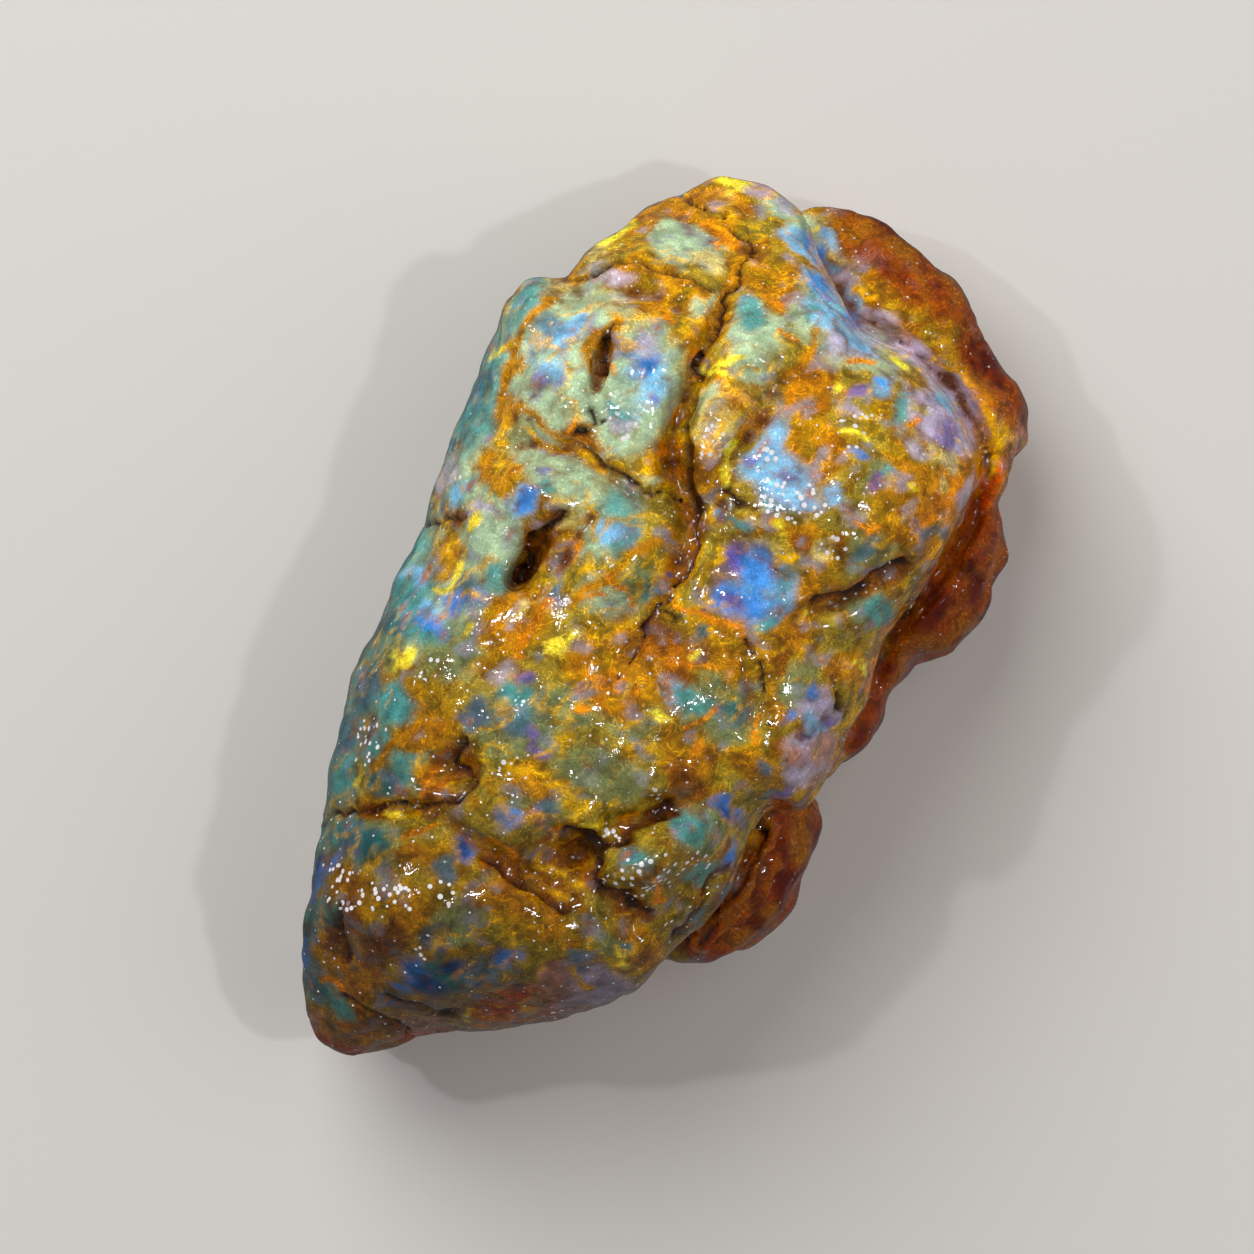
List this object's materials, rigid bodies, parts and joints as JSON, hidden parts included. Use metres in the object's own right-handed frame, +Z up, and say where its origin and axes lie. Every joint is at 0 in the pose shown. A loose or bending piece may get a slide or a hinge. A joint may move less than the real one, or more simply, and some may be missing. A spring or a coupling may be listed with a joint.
{
  "type": "rough dominican amber nodule",
  "caption": "Rough, lumpy nodule of see-through amber with clefts, pits and cushion-like swellings, lying on a small worn flat on its back.",
  "frame": {"origin": "middle of the bounding box seen from above, at the height of the flat that the stone rests on", "axes": "+Y along the stone's length towards its broad end, +Z up through the cleft face, +X towards the side where the lower lobes show"},
  "size_m": [0.0334, 0.058, 0.023],
  "materials": {
    "amber": "gloss"
  },
  "bodies": {
    "root": {"amber_nodule": "amber"}
  },
  "joints": []
}
